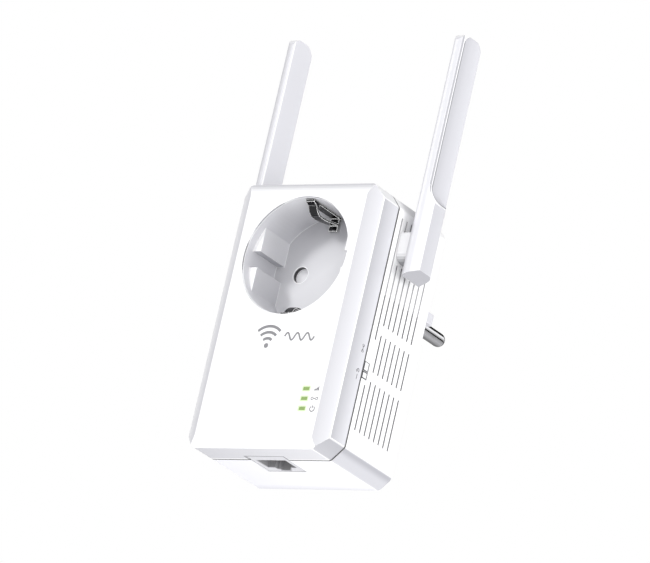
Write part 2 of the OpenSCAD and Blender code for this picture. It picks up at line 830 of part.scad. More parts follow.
module antenna_arm_right() { color(shell_white) placed() arm(); }
module antenna_arm_left() { color(shell_white) placed() mirror([1, 0, 0]) arm(); }
module antenna_panel_right() { color(panel_grey) placed() panel(); }
module antenna_panel_left() { color(panel_grey) placed() mirror([1, 0, 0]) panel(); }
module antenna_element_right() { color(element_green) placed() element(); }
module antenna_element_left() { color(element_green) placed() mirror([1, 0, 0]) element(); }
module hinge_shaft_right() { color(shaft_grey) placed() hinge_shaft(); }
module hinge_shaft_left() { color(shaft_grey) placed() mirror([1, 0, 0]) hinge_shaft(); }
module hinge_clip_right() { color(clip_grey) placed() hinge_clip(); }
module hinge_clip_left() { color(clip_grey) placed() mirror([1, 0, 0]) hinge_clip(); }
module coax_right() { color(coax_black) placed() coax(); }
module coax_left() { color(coax_black) placed() mirror([1, 0, 0]) coax(); }

module friction_washers() {
    color(spring_grey) placed() both_x() difference() {
        hinge_cyl(half_width - 2.66, half_width - wall - 0.32, 4.8);
        hinge_cyl(half_width - 4, half_width, 3.1);
    }
}

// ---- fasteners ----------------------------------------------------------
// cross-head screw at p = [x, z]; the shank runs forward from seat_y
module screw(p, seat_y, radius, length, head_radius, head_height) {
    reach = head_radius * 0.62;
    slot = 0.22 * radius + 0.1;
    slot_y = seat_y + head_height * 0.45;
    end_y = seat_y + head_height + 1;
    difference() {
        union() {
            cyl_y(p[0], p[1], seat_y - length, seat_y, radius);
            cyl_y(p[0], p[1], seat_y, seat_y + head_height, head_radius);
        }
        for (half = [[reach, slot], [slot, reach]])
            box(p[0] - half[0], p[0] + half[0], slot_y, end_y, p[1] - half[1], p[1] + half[1]);
    }
}

module board_screw(p, seat_y) {
    screw(p, seat_y, radius = 0.9, length = 4.6, head_radius = 1.8, head_height = 1.1);
}

module housing_screws() {
    color(screw_grey) placed() for (p = posts)
        screw(p, post_front(p) + 3, radius = 1.2, length = 8.3, head_radius = 2.4, head_height = 1.9);
}

module board_screws() {
    color(screw_grey) placed() {
        both_x() board_screw(main_screw, main_parts_y);
        // turned round, so the heads rest on the front of the power board
        for (p = power_screws)
            translate([0, power_front_y + power_parts_y, 0]) mirror([0, 1, 0])
                board_screw(p, power_front_y);
    }
}

front_cover();
rear_shell();
socket_cup();
safety_shutter();
shutter_spring();
contact_carrier();
line_contact();
neutral_contact();
earth_strap();
plug_body();
plug_pin_line();
plug_pin_neutral();
plug_earth_contact();
main_board();
main_chip();
rf_shield();
ethernet_jack();
jack_contacts();
lan_transformer();
status_leds();
light_guide();
wps_button();
reset_button();
wps_plunger();
reset_plunger();
wps_switch();
reset_switch();
power_board();
mains_transformer();
filter_capacitors();
mains_fuse();
bridge_rectifier();
board_link();
antenna_arm_left();
antenna_arm_right();
antenna_panel_left();
antenna_panel_right();
antenna_element_left();
antenna_element_right();
hinge_shaft_left();
hinge_shaft_right();
hinge_clip_left();
hinge_clip_right();
friction_washers();
coax_left();
coax_right();
housing_screws();
board_screws();
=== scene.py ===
"""A white plug-in wireless repeater with a pass-through mains socket and two antennas.

It stands upright: the front faces -Y, the right side as seen from the front is +X, and the
antennas rise towards +Z. The CAD pieces come packed; this script gives them materials and
rounded edges, adds the printed marks and sets up the studio.
"""
import math
from functools import cached_property

import bmesh
import bpy
from mathutils import Matrix, Vector


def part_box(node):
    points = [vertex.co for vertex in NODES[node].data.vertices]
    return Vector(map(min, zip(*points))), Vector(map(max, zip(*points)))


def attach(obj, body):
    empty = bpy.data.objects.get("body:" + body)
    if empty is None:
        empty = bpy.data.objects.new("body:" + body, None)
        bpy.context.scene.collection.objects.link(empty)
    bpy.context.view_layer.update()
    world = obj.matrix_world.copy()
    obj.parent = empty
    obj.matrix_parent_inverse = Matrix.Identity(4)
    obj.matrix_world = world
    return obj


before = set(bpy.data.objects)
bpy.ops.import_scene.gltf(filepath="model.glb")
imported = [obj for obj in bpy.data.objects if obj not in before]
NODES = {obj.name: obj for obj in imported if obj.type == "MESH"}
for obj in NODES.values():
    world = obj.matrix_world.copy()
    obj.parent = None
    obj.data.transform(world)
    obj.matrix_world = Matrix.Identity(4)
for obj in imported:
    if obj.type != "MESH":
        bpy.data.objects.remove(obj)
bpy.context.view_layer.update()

MM = 0.001
scene = bpy.context.scene

# driving places, in metres, from the imported pieces and given distances
cover_lo, cover_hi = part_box("front_cover")
lamp_lo, lamp_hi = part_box("status_leds")
FRONT = cover_lo.y                    # front plane
SEAM = cover_hi.y                     # joint between cover and rear shell
BACK = FRONT + 40.45 * MM             # rear of the housing
HALF_WIDTH = cover_hi.x
BOTTOM = cover_lo.z
SOCKET_Z = cover_hi.z - 25.35 * MM    # height of the socket centre
JACK_X = -0.5 * MM                    # middle of the network port
LED_X = (lamp_lo.x + lamp_hi.x) / 2
LED_Z = [lamp_lo.z + 0.6 * MM, (lamp_lo.z + lamp_hi.z) / 2, lamp_hi.z - 0.6 * MM]


def behind(mm):
    """The y that lies this many millimetres behind the front plane."""
    return FRONT + mm * MM


def above(mm):
    """The z that lies this many millimetres above the socket centre."""
    return SOCKET_Z + mm * MM


def beyond(mm):
    """The |x| that lies this many millimetres outside the housing's side."""
    return HALF_WIDTH + mm * MM


# ---------------------------------------------------------------- node helpers
class Nodes:
    """Short calls for building one node tree."""

    def __init__(self, tree):
        self.tree = tree
        tree.nodes.clear()

    def put(self, value, socket):
        """Links a socket or sets a value; a three-part colour gets its alpha."""
        if isinstance(value, bpy.types.NodeSocket):
            self.tree.links.new(value, socket)
        elif isinstance(value, tuple) and len(value) < len(socket.default_value):
            socket.default_value = value + (1.0,)
        else:
            socket.default_value = value

    def add(self, kind, inputs=(), **settings):
        """Adds a node; inputs is a dict by name or number, or a tuple in socket order."""
        node = self.tree.nodes.new(kind)
        for name, value in settings.items():
            setattr(node, name, value)
        pairs = inputs.items() if isinstance(inputs, dict) else enumerate(inputs)
        for key, value in pairs:
            self.put(value, node.inputs[key])
        return node

    def calc(self, kind, *values):
        return self.add("ShaderNodeMath", values, operation=kind).outputs[0]

    def times(self, product, *factors):
        """Product of all the values; for masks, where all of them hold."""
        for factor in factors:
            product = self.calc("MULTIPLY", product, factor)
        return product

    def dot(self, first, second):
        node = self.add("ShaderNodeVectorMath", (first, second), operation="DOT_PRODUCT")
        return node.outputs["Value"]

    def xyz(self, vector):
        return tuple(self.add("ShaderNodeSeparateXYZ", (vector,)).outputs)

    def fade(self, value, start, end, low=0.0, high=1.0, smooth=False):
        """Goes from low to high as the value goes from start to end."""
        kind = "SMOOTHSTEP" if smooth else "LINEAR"
        node = self.add("ShaderNodeMapRange", (value, start, end, low, high),
                        interpolation_type=kind)
        return node.outputs[0]

    def ramp(self, value, stops):
        """Grey ramp; stops are (position, grey)."""
        node = self.add("ShaderNodeValToRGB", (value,))
        elements = node.color_ramp.elements
        while len(elements) > 1:
            elements.remove(elements[-1])
        elements[0].position = stops[0][0]
        elements[0].color = (stops[0][1],) * 3 + (1.0,)
        for position, grey in stops[1:]:
            elements.new(position).color = (grey,) * 3 + (1.0,)
        return node.outputs[0]


class Shader(Nodes):
    """One material built round a Principled node."""

    def __init__(self, name):
        self.material = bpy.data.materials.new(name)
        self.material.use_nodes = True
        super().__init__(self.material.node_tree)
        out = self.add("ShaderNodeOutputMaterial")
        self.bsdf = self.add("ShaderNodeBsdfPrincipled")
        self.put(self.bsdf.outputs[0], out.inputs["Surface"])
        self.co = self.add("ShaderNodeTexCoord").outputs["Object"]

    @cached_property
    def geometry(self):
        return self.add("ShaderNodeNewGeometry")

    @cached_property
    def face(self):
        """Face normal in the piece's own axes."""
        normal = self.geometry.outputs["True Normal"]
        return self.add("ShaderNodeVectorTransform", (normal,), vector_type="NORMAL",
                        convert_from="WORLD", convert_to="OBJECT").outputs[0]

    def facing(self):
        """|x|, y and z of the face normal."""
        x, y, z = self.xyz(self.face)
        return self.abs(x), y, z

    def place(self):
        return self.xyz(self.co)

    def set(self, name, value):
        self.put(value, self.bsdf.inputs[name])

    def calc(self, kind, first, second=0.0):
        return super().calc(kind, first, second, 0.0)

    def abs(self, value):
        return self.calc("ABSOLUTE", value)

    def hypot(self, first, second):
        squares = self.calc("ADD", self.times(first, first), self.times(second, second))
        return self.calc("SQRT", squares)

    def scaled(self, scale):
        """Object coordinates stretched by a scale per axis."""
        node = self.add("ShaderNodeMapping", (self.co,))
        node.inputs["Scale"].default_value = scale
        return node.outputs[0]

    def noise(self, scale, detail=2.0, rough=0.5, distort=0.0, vector=None):
        return self.add("ShaderNodeTexNoise", {
            "Vector": self.co if vector is None else vector, "Scale": scale,
            "Detail": detail, "Roughness": rough, "Distortion": distort}).outputs["Fac"]

    def voronoi(self, scale):
        node = self.add("ShaderNodeTexVoronoi", {"Vector": self.co, "Scale": scale})
        return node.outputs["Distance"]

    def wave(self, scale, distort, direction="X"):
        inputs = {"Vector": self.co, "Scale": scale, "Distortion": distort}
        node = self.add("ShaderNodeTexWave", inputs, bands_direction=direction)
        return node.outputs["Fac"]

    def mix(self, mask, first, second):
        node = self.add("ShaderNodeMix", data_type="RGBA", clamp_factor=True)
        for index, value in ((0, mask), (6, first), (7, second)):
            self.put(value, node.inputs[index])
        return node.outputs[2]

    def grade(self, value, start, end, first, second):
        """Colour that turns from first to second between start and end."""
        return self.mix(self.fade(value, start, end), first, second)

    def band(self, value, low, high, soft):
        """1 between low and high, falling to 0 over soft at each end."""
        return self.times(self.fade(value, low - soft, low + soft),
                          self.fade(value, high + soft, high - soft))

    def bump(self, height, strength, distance, normal=None):
        inputs = {"Strength": strength, "Distance": distance, "Height": height}
        if normal is not None:
            inputs["Normal"] = normal
        self.set("Normal", self.add("ShaderNodeBump", inputs).outputs[0])

    def edge(self, radius):
        """A mask, 1 close to a sharp edge and 0 on flats, and the rounded normal."""
        rounded = self.add("ShaderNodeBevel", {"Radius": radius}, samples=4).outputs[0]
        match = self.dot(rounded, self.geometry.outputs["Normal"])
        return self.fade(match, 0.995, 0.86), rounded


# ---------------------------------------------------------------- colours
def srgb(*channels):
    """sRGB 0-255 to linear."""
    return tuple((v / 255 / 12.92) if v / 255 <= 0.04045 else ((v / 255 + 0.055) / 1.055) ** 2.4
                 for v in channels)


def tone(level, blue):
    """A near-grey: red and green share a level, blue has its own."""
    return srgb(level, level, blue)


def shade(colour, gain, lift=0.0):
    return tuple(min(1.0, c * gain + lift) for c in colour)


WHITE = (0.93, 0.93, 0.94)
LIT_WHITE = (0.98, 0.98, 0.985)           # painted highlight: the white of faces and edges that catch the light
LIP = (1.0, 1.0, 1.0)                 # edges that catch the light
JOINT_SHADE = tone(48, 51)                  # painted shade: dark line in the joint between cover and shell


# ---------------------------------------------------------------- kinds of material
def drifting(mat, base, vary):
    """Base colour with a slow drift and sparse darker grains."""
    slow = mat.noise(scale=38.0, detail=3.0, rough=0.55)
    fine = mat.noise(scale=2600.0, detail=2.0, rough=0.6)
    colour = mat.grade(slow, 0.32, 0.68, shade(base, 1 - vary), shade(base, 1 + vary * 0.6))
    return mat.mix(mat.fade(fine, 0.62, 0.8, high=0.25), colour, shade(base, 0.94))


def plastic(name, base, rough, grain, depth, vary, edge_shading, coat=0.0, lip=None, layers=None,
            glow=None):
    """Moulded plastic with a fine grain and a painted highlight along its sharp edges.

    grain is the texture scale and depth its relief in mm; vary is the colour drift and
    edge_shading the strength of the edge colour lip, a painted highlight that is lighter than
    the base unless a dark lip is given, which paints a shade line instead. layers yields (mask,
    colour) pairs laid over the base; with vary None the first of them is the ground. glow is
    (colour, strength).
    """
    mat = Shader(name)
    colour = None if vary is None else drifting(mat, base, vary)
    for mask, layer in layers(mat) if layers else ():
        colour = layer if colour is None else mat.mix(mask, colour, layer)
    # painted highlight along the sharp edges; a dark lip paints a shade line there instead
    edge, rounded = mat.edge(radius=0.22 * MM)
    colour = mat.mix(mat.times(edge, edge_shading), colour, lip or shade(base, 1.06, lift=0.015))
    mat.set("Base Color", colour)
    patches = mat.noise(scale=420.0, detail=3.0, rough=0.6)
    patches = mat.fade(patches, 0.3, 0.7, low=rough - 0.04, high=rough + 0.05)
    mat.set("Roughness", mat.calc("ADD", patches, mat.times(edge, -0.08)))
    mat.set("IOR", 1.49)
    mat.set("Coat Weight", coat)
    mat.set("Coat Roughness", 0.12)
    height = mat.calc("ADD", mat.times(mat.noise(scale=grain, detail=3.0, rough=0.65), 0.7),
                      mat.times(mat.voronoi(scale=grain * 0.55), 0.3))
    mat.bump(height, strength=0.35, distance=depth * MM, normal=rounded)
    if glow:
        mat.set("Emission Color", glow[0])
        mat.set("Emission Strength", glow[1])
    return mat.material


def metal(name, base, rough, brush, scale, depth, tarnish, dark=None, lip=None, tint=None):
    """Plated or drawn metal with brush marks and patches of tarnish.

    brush stretches the marks along the axes with small values; depth is their relief in mm.
    A lip colour widens the edges and paints a bright highlight on them, with glowing painted
    glints; without a lip the edges are a little lighter, a painted highlight too.
    """
    mat = Shader(name)
    lines = mat.noise(scale=scale, detail=5.0, rough=0.6, vector=mat.scaled(brush))
    blot = mat.noise(scale=140.0, detail=4.0, rough=0.6, distort=0.4)
    colour = mat.mix(mat.fade(blot, 0.42, 0.78, high=tarnish), base, dark or shade(base, 0.55))
    colour = mat.mix(mat.fade(lines, 0.35, 0.7, high=0.22), colour, shade(base, 0.7))
    edge, rounded = mat.edge(radius=(0.35 if lip else 0.12) * MM)
    colour = mat.mix(mat.times(edge, 0.9 if lip else 0.5), colour, lip or shade(base, 1.15))
    # tint paints more into the colour; the pins get a painted reflection from it
    if tint:
        colour = tint(mat, colour)
    metallic = 1.0
    # painted glints: the lip edges glow white and lose their metal
    if lip:
        mat.set("Emission Color", (1.0, 1.0, 1.0))
        mat.set("Emission Strength", mat.times(edge, 0.9))
        metallic = mat.calc("SUBTRACT", 1.0, mat.times(edge, 0.85))
    mat.set("Base Color", colour)
    mat.set("Metallic", metallic)
    mat.set("Roughness", mat.fade(mat.calc("ADD", lines, blot), 0.7, 1.3,
                                  low=rough * 0.75, high=rough * 1.35))
    mat.bump(lines, strength=0.3, distance=depth * MM, normal=rounded)
    return mat.material


def board(name, base, trace):
    """Printed board: copper runs under the mask, via speckle and a glass weave in the relief."""
    mat = Shader(name)

    def runs(scale, stretch, start, end):
        field = mat.noise(scale=scale, detail=2.0, rough=0.4, vector=mat.scaled(stretch))
        return mat.fade(field, start, end)

    upright = runs(scale=240.0, stretch=(1, 0.0, 0.25), start=0.5, end=0.53)
    level = runs(scale=260.0, stretch=(0.25, 0.0, 1), start=0.52, end=0.55)
    copper = mat.calc("MAXIMUM", upright, level)
    colour = mat.mix(mat.times(copper, 0.7), base, trace)
    via = mat.fade(mat.voronoi(scale=420.0), 0.16, 0.1)
    colour = mat.mix(mat.times(via, 0.8), colour, (0.55, 0.52, 0.42))
    edge, rounded = mat.edge(radius=0.1 * MM)
    mat.set("Base Color", mat.mix(mat.times(edge, 0.5), colour, (0.5, 0.46, 0.28)))
    mat.set("Roughness", mat.fade(mat.noise(scale=300.0), 0.3, 0.7, low=0.28, high=0.4))
    weave = mat.calc("ADD", mat.wave(scale=900.0, distort=0.4),
                     mat.wave(scale=900.0, distort=0.4, direction="Z"))
    height = mat.calc("ADD", mat.times(weave, 0.25), copper)
    mat.bump(height, strength=0.5, distance=0.03 * MM, normal=rounded)
    return mat.material


def wrapped(name, base, over, bands, axis):
    """Tape-wrapped or sleeved part: turns along an axis with a faint seam."""
    mat = Shader(name)
    turns = mat.wave(scale=bands, distort=0.6, direction=axis)
    colour = mat.grade(turns, 0.75, 1.0, base, over)
    stain = mat.noise(scale=160.0, detail=4.0, rough=0.6)
    colour = mat.mix(mat.fade(stain, 0.4, 0.7, high=0.3), colour, shade(base, 0.75))
    # painted highlight: the edges are lighter
    edge, rounded = mat.edge(radius=0.15 * MM)
    colour = mat.mix(mat.times(edge, 0.4), colour, shade(base, 1.4, lift=0.02))
    mat.set("Base Color", colour)
    mat.set("Roughness", mat.fade(mat.noise(scale=500.0), 0.3, 0.7, low=0.3, high=0.45))
    mat.bump(turns, strength=0.5, distance=0.05 * MM, normal=rounded)
    return mat.material


def lamp(name, base, glow, strength):
    """Lit plastic: a slightly cloudy body that gives off light."""
    mat = Shader(name)
    cloud = mat.noise(scale=900.0, detail=3.0, rough=0.6)
    mat.set("Base Color", mat.grade(cloud, 0.3, 0.7, base, shade(base, 0.85)))
    mat.set("Roughness", mat.fade(cloud, 0.3, 0.7, low=0.25, high=0.4))
    mat.set("Emission Color", mat.grade(cloud, 0.3, 0.7, glow, shade(glow, 0.9)))
    mat.set("Emission Strength", strength)
    mat.bump(cloud, strength=0.2, distance=0.01 * MM)
    return mat.material


# ---------------------------------------------------------------- layers on the mouldings
# Each mask picks a region by face normal and place and paints the tone beside it there. Most of
# these tones are painted light and shade: lit and shaded faces, highlights, and shadows in
# grooves, slots, holes and gaps.
def lamp_glow(mat):
    """Light from the status lamps bleeding a little way into the cover."""
    x, y, z = mat.place()
    near = mat.fade(y, behind(1.0), behind(0.5))
    for lamp_z in LED_Z:
        gaps = []                     # distance outside the lamp window, along x and z
        for value, middle, half in ((x, LED_X, 1.15), (z, lamp_z, 0.5)):
            offset = mat.abs(mat.calc("SUBTRACT", value, middle))
            gaps.append(mat.calc("MAXIMUM", mat.calc("SUBTRACT", offset, half * MM), 0.0))
        halo = mat.calc("POWER", mat.fade(mat.hypot(*gaps), 0.95 * MM, 0.1 * MM), 1.3)
        yield mat.times(halo, near, 0.9), (0.52, 0.76, 0.26)


def cover_layers(mat):
    """Front cover: painted light and shade by face and place: a darker right bevel, a highlight
    line at the bevels' side edges, shade on the rolls of the front, on the sides, chamfers and
    underside, a shadow along the jack notch and in the joint, and the glow of the lamps.
    """
    face_x, face_y, face_z = mat.facing()
    x, y, z = mat.place()
    abs_x = mat.abs(x)
    outer = mat.fade(face_y, 0.5, 0.4)            # not facing the rear
    bevel = mat.times(mat.band(face_x, 0.35, 0.93, 0.06), mat.fade(face_y, -0.25, -0.35))
    # painted light and shade: the left bevel lit, the right one shaded, both lighter outwards
    slope = mat.mix(mat.fade(x, -MM, MM),         # left half, then right half
                    mat.grade(abs_x, beyond(-4.9), beyond(-0.3), tone(228, 232), tone(250, 252)),
                    mat.grade(abs_x, beyond(-4.9), beyond(-0.6), tone(198, 202), tone(214, 218)))
    # painted highlight along the bevels' side edges
    yield bevel, mat.mix(mat.fade(abs_x, beyond(-0.32), beyond(-0.12)), slope, LIT_WHITE)
    # painted shade, faint, where the front rolls back at the bottom
    roll = mat.times(mat.fade(face_z, -0.08, -0.4), mat.fade(face_y, -0.5, -0.6))
    yield mat.times(roll, 0.35), tone(236, 240)
    # painted shade where the front rolls back at the top
    crown = mat.times(mat.fade(face_z, 0.25, 0.5), mat.fade(face_y, -0.5, -0.6))
    yield crown, tone(204, 208)
    # painted shade on the sides, darkest near the front
    side = mat.times(mat.fade(face_x, 0.955, 0.985), outer)
    strip = mat.grade(y, behind(3.4), SEAM - 0.6 * MM, tone(174, 179), tone(210, 215))
    strip = mat.mix(mat.fade(y, behind(3.75), behind(3.45), high=0.8), strip, tone(158, 162))
    yield side, strip
    # painted shade on the lower chamfers
    chamfer = mat.times(mat.band(face_x, 0.45, 0.93, 0.05), mat.fade(face_z, -0.3, -0.55), outer)
    yield chamfer, mat.grade(z, BOTTOM + 0.6 * MM, BOTTOM + 4.6 * MM,
                             tone(180, 185), tone(172, 177))
    # painted shade on the underside, lighter to the right, with a painted highlight by the joint
    under = mat.times(mat.fade(face_z, -0.955, -0.985), outer)
    strip = mat.grade(x, -HALF_WIDTH, HALF_WIDTH, tone(200, 205), tone(228, 232))
    yield under, mat.mix(mat.fade(y, SEAM - 1.0 * MM, SEAM - 0.75 * MM), strip, LIT_WHITE)
    # painted shadow along the notch for the network jack
    notch = mat.times(mat.fade(face_z, -0.5, -0.9),
                      mat.band(x, JACK_X - 8.05 * MM, JACK_X + 8.05 * MM, 0.04 * MM),
                      mat.fade(y, behind(8.42), behind(8.5)))
    yield notch, tone(120, 123)
    # painted shade in the joint
    yield mat.fade(y, SEAM - 0.24 * MM, SEAM - 0.16 * MM), JOINT_SHADE
    yield from lamp_glow(mat)


def shell_layers(mat):
    """Rear shell: painted shade on the lower chamfers, the underside and the sides near the
    back, painted shadow in the vent slots and grooves, along the button window and in the joint.
    """
    face_x, _, face_z = mat.facing()
    x, y, z = mat.place()
    abs_x = mat.abs(x)
    # painted shade on the lower chamfers, graded with height
    chamfer = mat.times(mat.band(face_x, 0.45, 0.93, 0.05), mat.fade(face_z, -0.3, -0.55))
    rise = mat.fade(z, BOTTOM + 2.2 * MM, BOTTOM + 4.0 * MM, smooth=True)
    slope = mat.mix(rise, tone(195, 200), tone(170, 176))
    top = mat.fade(z, BOTTOM + 4.6 * MM, BOTTOM + 5.2 * MM)
    yield chamfer, mat.mix(top, slope, tone(232, 236))
    # painted shade on the underside, darker on the left and towards the back
    under = mat.fade(face_z, -0.955, -0.985)
    strip = mat.grade(x, -HALF_WIDTH, HALF_WIDTH, tone(234, 239), tone(250, 252))
    rear = mat.fade(y, BACK - 5 * MM, BACK - 0.8 * MM, high=0.6)
    yield under, mat.mix(rear, strip, tone(206, 214))
    # painted shade on the sides near the back
    wall = mat.times(mat.fade(face_x, 0.955, 0.985), mat.fade(y, BACK - 6 * MM, BACK - 0.5 * MM))
    yield wall, tone(234, 237)
    # painted shadow inside the vent slots
    slots = mat.times(mat.band(abs_x, beyond(-4.0), beyond(-0.42), 0.04 * MM),
                      mat.band(y, behind(14.2), behind(36.0), 0.1 * MM),
                      mat.band(z, above(-59), above(20), 0.1 * MM))
    yield slots, tone(38, 41)
    # painted shade in the vent grooves
    groove = mat.times(mat.band(abs_x, beyond(-0.42), beyond(-0.1), 0.03 * MM),
                       mat.band(y, behind(14.2), behind(36.0), 0.1 * MM),
                       mat.band(z, above(-54.6), above(20), 0.1 * MM))
    yield mat.times(groove, 0.85), tone(146, 151)
    # painted shadow line along the rear of the button window
    button_frame = mat.times(mat.fade(x, beyond(-5.2), beyond(-5.1)),
                             mat.fade(y, behind(15.22), behind(15.18)),
                             mat.band(z, above(-37.76), above(-31.86), 0.02 * MM))
    yield button_frame, tone(134, 137)
    # painted shade in the joint
    yield mat.fade(y, SEAM + 0.58 * MM, SEAM + 0.54 * MM), JOINT_SHADE


def arm_layers(mat):
    """Antenna arm: painted shade by face: on the outer face below the panel, a shadow line along
    the front of the panel, on the front of the blade, under the knuckle, on the inner face and
    on the foot.
    """
    face_x, face_y, face_z = mat.facing()
    signed_x = mat.xyz(mat.face)[0]
    x, y, z = mat.place()
    abs_x = mat.abs(x)
    side = mat.fade(face_x, 0.9, 0.97)
    blade = mat.fade(abs_x, beyond(3.8), beyond(3.95))
    outward = mat.fade(mat.times(x, signed_x, 1000.0), 1.0, 2.0)    # faces away from x = 0
    outer = mat.times(side, blade, outward)
    # painted shade on the outer face below the panel
    low = mat.times(outer, mat.fade(z, above(26.2), above(25.2)))
    yield low, mat.grade(y, behind(18), behind(25.5), tone(192, 197), tone(202, 207))
    # painted shadow line along the front edge of the panel
    rim = mat.times(outer, mat.fade(z, above(25.2), above(26.2)),
                    mat.fade(y, behind(17.0), behind(16.85)))
    yield rim, tone(176, 181)
    # painted shade on the front of the blade
    yield mat.times(blade, mat.fade(face_y, -0.75, -0.85)), tone(214, 218)
    # painted shade under the knuckle
    heel = mat.times(mat.fade(abs_x, beyond(3.9), beyond(3.7)), mat.fade(face_z, -0.25, -0.95))
    yield heel, tone(140, 144)
    # painted shade on the inner face, darker towards the bottom
    inner = mat.times(side, mat.fade(abs_x, beyond(5), beyond(4.6)))
    yield inner, mat.grade(z, above(-2), above(30), tone(180, 185), tone(211, 216))
    # painted shade on the foot
    foot = mat.times(mat.fade(face_z, -0.3, -0.5), mat.fade(abs_x, beyond(3.8), beyond(3.95)))
    yield foot, tone(172, 177)


def panel_layers(mat):
    """Inset panel: painted shade, darkest at its rounded lower front and lighter towards the
    rear, with a painted shadow line along that front edge.
    """
    _, y, z = mat.place()
    radius = 4.85 * MM                # of the rounded lower front corner
    gaps = []
    for value, start in ((y, behind(17.35)), (z, above(25.8))):
        inset = mat.calc("SUBTRACT", radius, mat.calc("SUBTRACT", value, start))
        gaps.append(mat.calc("MAXIMUM", inset, 0.0))
    depth = mat.calc("SUBTRACT", radius, mat.hypot(*gaps))          # distance from that edge
    # painted shade, lighter away from the front edge
    sweep = mat.fade(depth, 0.3 * MM, 4.8 * MM, smooth=True)
    yield 1.0, mat.mix(sweep, tone(186, 191), tone(198, 203))
    yield mat.fade(y, behind(22), behind(25.9)), tone(206, 211)
    # painted shadow line along the rounded lower front
    yield mat.fade(depth, 0.55 * MM, 0.25 * MM), tone(138, 143)


def recess_layers(mat):
    """Socket cup: painted light on the rim, the flats' fronts, the upper walls and round the pin
    holes; painted shade on the floor towards the upper left, the left walls, the flats' sides
    and undersides; painted shadow deep in the pin holes.
    """
    face_x, face_y, face_z = mat.facing()
    x, y, z = mat.place()
    front = mat.fade(face_y, -0.93, -0.97)
    # painted light: the rim and the fronts of the keying flats near it are white
    yield mat.times(front, mat.fade(y, behind(6), behind(5))), LIT_WHITE
    # painted shadow: the floor darkens towards the upper left
    away = mat.calc("ADD", mat.times(x, -0.64),
                    mat.times(mat.calc("SUBTRACT", z, SOCKET_Z), 0.77))
    floor = mat.grade(away, 1 * MM, 17 * MM, tone(223, 226), tone(192, 196))
    yield mat.times(front, mat.fade(y, behind(12), behind(13))), floor
    # painted shade on the walls to the left, painted light on the upper walls
    wall = mat.times(mat.fade(mat.abs(face_y), 0.3, 0.1),
                     mat.fade(y, behind(17.9), behind(17.7)))
    yield mat.times(wall, mat.fade(x, -6 * MM, -18 * MM)), tone(208, 212)
    upper = mat.fade(z, above(2), above(14))
    yield mat.times(wall, upper, mat.fade(x, -10 * MM, -2 * MM)), tone(252, 254)
    # painted shade on the side faces of the keying flats, darker towards the bottom
    key = mat.times(mat.fade(face_x, 0.97, 0.99), mat.fade(mat.abs(x), 17.2 * MM, 17.0 * MM))
    yield key, mat.grade(z, above(-10), above(10), tone(200, 204), tone(224, 227))
    # painted highlight: a white disc round each of the two pin holes
    ring = mat.hypot(mat.calc("SUBTRACT", mat.abs(x), 9.5 * MM),
                     mat.calc("SUBTRACT", z, SOCKET_Z))
    yield mat.times(front, mat.fade(y, behind(12), behind(13)),
                    mat.fade(ring, 3.15 * MM, 3.0 * MM)), (1.0, 1.0, 1.0)
    # painted shade on faces turned downwards
    under = mat.fade(face_z, -0.5, -0.8)
    yield mat.times(under, mat.fade(mat.abs(x), 21 * MM, 20 * MM, high=0.5)), tone(188, 192)
    # painted shadow deep in the pin holes
    yield mat.fade(y, behind(17.75), behind(17.95)), tone(40, 42)


def jack_layers(mat):
    """Network jack: a pale frame at the bottom with a painted shadow line round it; the grey of
    the rest is painted shade inside the port.
    """
    x, y, z = mat.place()
    frame_face = mat.fade(z, BOTTOM + 0.5 * MM, BOTTOM + 0.25 * MM)
    yield frame_face, tone(214, 218)
    # painted shadow line along the gap round the frame
    offset = mat.abs(mat.calc("SUBTRACT", x, JACK_X))
    rim = mat.calc("MAXIMUM", mat.fade(offset, 7.15 * MM, 7.3 * MM),
                   mat.fade(y, behind(22.45), behind(22.6)))
    yield mat.times(frame_face, rim), tone(150, 154)


def button_layers(mat):
    """Side buttons: a painted shadow line round each white face, painted shade on the flanks
    inside the window.
    """
    x, y, z = mat.place()
    # painted shadow line round each button face
    rim = mat.fade(y, behind(14.32), behind(14.36))
    for middle, half in ((-33.5, 1.35), (-36.5, 0.9)):    # each button's height and half size
        offset = mat.abs(mat.calc("SUBTRACT", z, above(middle)))
        line = mat.band(offset, (half - 0.06) * MM, (half + 0.3) * MM, 0.02 * MM)
        rim = mat.calc("MAXIMUM", rim, line)
    yield rim, tone(132, 135)
    # painted shade on the flanks inside the window
    yield mat.fade(x, beyond(0.1), beyond(0.05)), tone(140, 143)


def pin_painted_reflection(mat, colour):
    """Painted reflection: darkens the underside of the plated pins in bands by face normal, like
    the dim lower half of the studio mirrored in them.
    """
    x, _, z = mat.xyz(mat.face)
    mirror = mat.ramp(mat.fade(x, -0.5, 1.0), [
        (0.0, 0.42), (0.22, 0.30), (0.40, 0.22), (0.58, 0.62), (0.80, 0.92), (0.93, 0.75),
        (1.0, 0.5)])
    mask = mat.grade(z, 0.12, -0.02, (1.0, 1.0, 1.0), mirror)
    return mat.add("ShaderNodeVectorMath", (colour, mask), operation="MULTIPLY").outputs[0]


# ---------------------------------------------------------------- the materials
finishes = {}                         # piece name to material


def finish(material, *pieces):
    finishes.update(dict.fromkeys(pieces, material))


